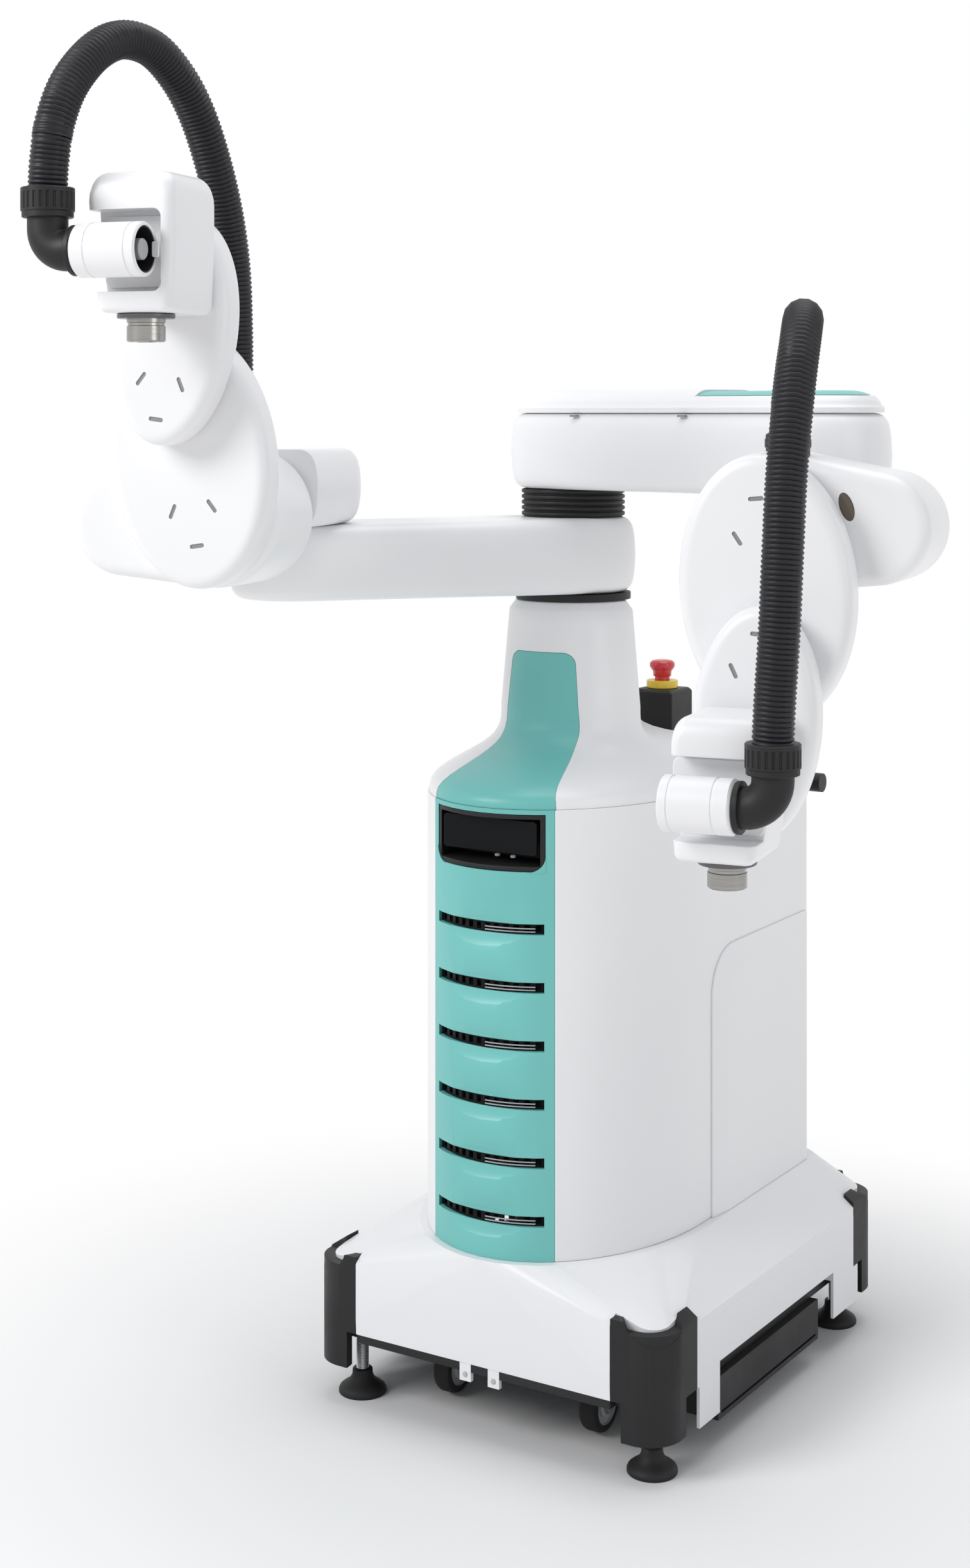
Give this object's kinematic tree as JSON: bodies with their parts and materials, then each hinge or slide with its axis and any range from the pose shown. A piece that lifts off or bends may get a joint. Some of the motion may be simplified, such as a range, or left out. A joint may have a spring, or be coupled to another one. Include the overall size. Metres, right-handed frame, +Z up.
{
  "type": "dual-arm collaborative robot",
  "caption": "Dual-arm robot on a wheeled cabinet: two horizontal arms turn on one neck, each with folding bars that lift a wrist, a hose and a tool flange",
  "frame": {"origin": "on the floor under the turret axis", "axes": "+Z up, front towards -Y, +X to the robot's left as seen from the front"},
  "size_m": [0.9093, 1.2541, 1.6507],
  "materials": {
    "white_shell": "smooth satin white moulding",
    "teal_panel": "satin teal moulding",
    "black_plastic": "fine-grained black moulding",
    "black_steel": "black powder coat",
    "hose_rubber": "corrugated black hose",
    "black_rubber": "black tread rubber",
    "foot_rubber": "black foot pad",
    "zinc_steel": "zinc plated",
    "inner_steel": "grey paint",
    "yellow_plastic": "yellow moulding",
    "red_plastic": "red moulding",
    "tool_steel": "turned bright steel"
  },
  "bodies": {
    "cart": {"base_plate": "black_steel", "cart_cover": "white_shell", "front_guards": "black_plastic", "rear_guards": "black_plastic", "foot_nuts": "zinc_steel", "side_boxes": "black_plastic", "front_tabs": "white_shell", "column": "inner_steel", "cabinet_shell": "white_shell", "front_panel": "teal_panel", "display_bay": "black_plastic", "slot_grilles": "zinc_steel", "side_panel_left": "white_shell", "side_panel_right": "white_shell", "rear_cover": "white_shell", "push_handle": "black_plastic", "controller": "inner_steel", "neck_cowl": "white_shell", "neck_inlay": "teal_panel", "stop_box": "black_plastic", "stop_collar": "yellow_plastic", "turret_collar": "black_plastic", "turret_ring": "black_plastic"},
    "left_upper_arm": {"left_link": "white_shell"},
    "left_fore_arm": {"left_forearm": "white_shell", "left_lift_housing": "white_shell", "left_hose_socket": "black_plastic"},
    "left_first_bar": {"left_lift_bar": "white_shell"},
    "left_second_bar": {"left_swing_bar": "white_shell"},
    "left_hand": {"left_wrist": "white_shell", "left_duct": "white_shell", "left_hose_elbow": "black_plastic", "left_hose": "hose_rubber"},
    "left_flange": {"left_tool_flange": "tool_steel"},
    "right_upper_arm": {"right_link": "white_shell", "right_link_cover": "white_shell", "right_link_cap": "teal_panel"},
    "right_fore_arm": {"right_forearm": "white_shell", "right_lift_housing": "white_shell", "right_hose_socket": "black_plastic"},
    "right_first_bar": {"right_lift_bar": "white_shell"},
    "right_second_bar": {"right_swing_bar": "white_shell"},
    "right_hand": {"right_wrist": "white_shell", "right_duct": "white_shell", "right_hose_elbow": "black_plastic", "right_hose": "hose_rubber"},
    "right_flange": {"right_tool_flange": "tool_steel"},
    "castor_swivel_fl": {"castor_fork_fl": "zinc_steel"},
    "castor_roller_fl": {"castor_wheel_fl": "black_rubber"},
    "levelling_foot_fl": {"foot_fl": "foot_rubber"},
    "castor_swivel_fr": {"castor_fork_fr": "zinc_steel"},
    "castor_roller_fr": {"castor_wheel_fr": "black_rubber"},
    "levelling_foot_fr": {"foot_fr": "foot_rubber"},
    "castor_swivel_rl": {"castor_fork_rl": "zinc_steel"},
    "castor_roller_rl": {"castor_wheel_rl": "black_rubber"},
    "levelling_foot_rl": {"foot_rl": "foot_rubber"},
    "castor_swivel_rr": {"castor_fork_rr": "zinc_steel"},
    "castor_roller_rr": {"castor_wheel_rr": "black_rubber"},
    "levelling_foot_rr": {"foot_rr": "foot_rubber"},
    "stop_knob": {"stop_button": "red_plastic"}
  },
  "joints": [
    {"name": "left_shoulder", "type": "hinge", "parent": "cart", "child": "left_upper_arm", "pos_m": [0, 0, 1.057], "axis": [0, 0, 1], "range_deg": [-150, 35]},
    {"name": "left_elbow", "type": "hinge", "parent": "left_upper_arm", "child": "left_fore_arm", "pos_m": [-0.18124, -0.34815, 1.12], "axis": [0, 0, 1], "range_deg": [-130, 75]},
    {"name": "left_lift", "type": "hinge", "parent": "left_fore_arm", "child": "left_first_bar", "pos_m": [-0.11834, -0.60043, 1.12], "axis": [0.2419, -0.9703, 0], "range_deg": [-3.7, 167.5], "deforming": ["left_hose"]},
    {"name": "left_swing", "type": "hinge", "parent": "left_first_bar", "child": "left_second_bar", "pos_m": [-0.12704, -0.64589, 1.25662], "axis": [0.2419, -0.9703, 0], "range_deg": [-335, 7.4]},
    {"name": "left_level", "type": "hinge", "parent": "left_second_bar", "child": "left_hand", "pos_m": [-0.09777, -0.6829, 1.39325], "axis": [0.2419, -0.9703, 0], "range_deg": [-3.7, 167.5]},
    {"name": "left_tool_turn", "type": "hinge", "parent": "left_hand", "child": "left_flange", "pos_m": [-0.08628, -0.72899, 1.33925], "axis": [0, 0, -1], "range_deg": [-360, 360]},
    {"name": "right_shoulder", "type": "hinge", "parent": "cart", "child": "right_upper_arm", "pos_m": [0, 0, 1.15], "axis": [0, 0, 1], "range_deg": [-35, 160]},
    {"name": "right_elbow", "type": "hinge", "parent": "right_upper_arm", "child": "right_fore_arm", "pos_m": [0.3832, -0.08495, 1.12], "axis": [0, 0, 1], "range_deg": [-48, 155]},
    {"name": "right_lift", "type": "hinge", "parent": "right_fore_arm", "child": "right_first_bar", "pos_m": [0.42834, -0.341, 1.12], "axis": [-0.1736, 0.9848, 0], "range_deg": [-171.2, 0], "deforming": ["right_hose"]},
    {"name": "right_swing", "type": "hinge", "parent": "right_first_bar", "child": "right_second_bar", "pos_m": [0.44606, -0.38053, 0.98241], "axis": [-0.1736, 0.9848, 0], "range_deg": [0, 342.4]},
    {"name": "right_level", "type": "hinge", "parent": "right_second_bar", "child": "right_hand", "pos_m": [0.44311, -0.42471, 0.84481], "axis": [-0.1736, 0.9848, 0], "range_deg": [-171.2, 0]},
    {"name": "right_tool_turn", "type": "hinge", "parent": "right_hand", "child": "right_flange", "pos_m": [0.45135, -0.47149, 0.79081], "axis": [0, 0, -1], "range_deg": [-360, 360]},
    {"name": "castor_turn_fl", "type": "hinge", "parent": "cart", "child": "castor_swivel_fl", "pos_m": [-0.105, -0.14, 0.084], "axis": [0, 0, 1], "continuous": true},
    {"name": "castor_roll_fl", "type": "hinge", "parent": "castor_swivel_fl", "child": "castor_roller_fl", "pos_m": [-0.105, -0.118, 0.0365], "axis": [1, 0, 0], "continuous": true},
    {"name": "foot_height_fl", "type": "slide", "parent": "cart", "child": "levelling_foot_fl", "axis": [0, 0, -1], "range_m": [-0.008, 0.008]},
    {"name": "castor_turn_fr", "type": "hinge", "parent": "cart", "child": "castor_swivel_fr", "pos_m": [0.105, -0.14, 0.084], "axis": [0, 0, 1], "continuous": true},
    {"name": "castor_roll_fr", "type": "hinge", "parent": "castor_swivel_fr", "child": "castor_roller_fr", "pos_m": [0.105, -0.118, 0.0365], "axis": [1, 0, 0], "continuous": true},
    {"name": "foot_height_fr", "type": "slide", "parent": "cart", "child": "levelling_foot_fr", "axis": [0, 0, -1], "range_m": [-0.008, 0.008]},
    {"name": "castor_turn_rl", "type": "hinge", "parent": "cart", "child": "castor_swivel_rl", "pos_m": [-0.105, 0.3, 0.084], "axis": [0, 0, 1], "continuous": true},
    {"name": "castor_roll_rl", "type": "hinge", "parent": "castor_swivel_rl", "child": "castor_roller_rl", "pos_m": [-0.105, 0.322, 0.0365], "axis": [1, 0, 0], "continuous": true},
    {"name": "foot_height_rl", "type": "slide", "parent": "cart", "child": "levelling_foot_rl", "axis": [0, 0, -1], "range_m": [-0.008, 0.008]},
    {"name": "castor_turn_rr", "type": "hinge", "parent": "cart", "child": "castor_swivel_rr", "pos_m": [0.105, 0.3, 0.084], "axis": [0, 0, 1], "continuous": true},
    {"name": "castor_roll_rr", "type": "hinge", "parent": "castor_swivel_rr", "child": "castor_roller_rr", "pos_m": [0.105, 0.322, 0.0365], "axis": [1, 0, 0], "continuous": true},
    {"name": "foot_height_rr", "type": "slide", "parent": "cart", "child": "levelling_foot_rr", "axis": [0, 0, -1], "range_m": [-0.008, 0.008]},
    {"name": "stop_press", "type": "slide", "parent": "cart", "child": "stop_knob", "axis": [0, 0, -1], "range_m": [0, 0.004], "stiffness_N_per_m": 800, "springref_m": -0.002}
  ],
  "couplings": [
    {"joint": "left_swing", "follows": "left_lift", "ratio": -2},
    {"joint": "left_level", "follows": "left_lift", "ratio": 1},
    {"joint": "right_swing", "follows": "right_lift", "ratio": -2},
    {"joint": "right_level", "follows": "right_lift", "ratio": 1}
  ]
}
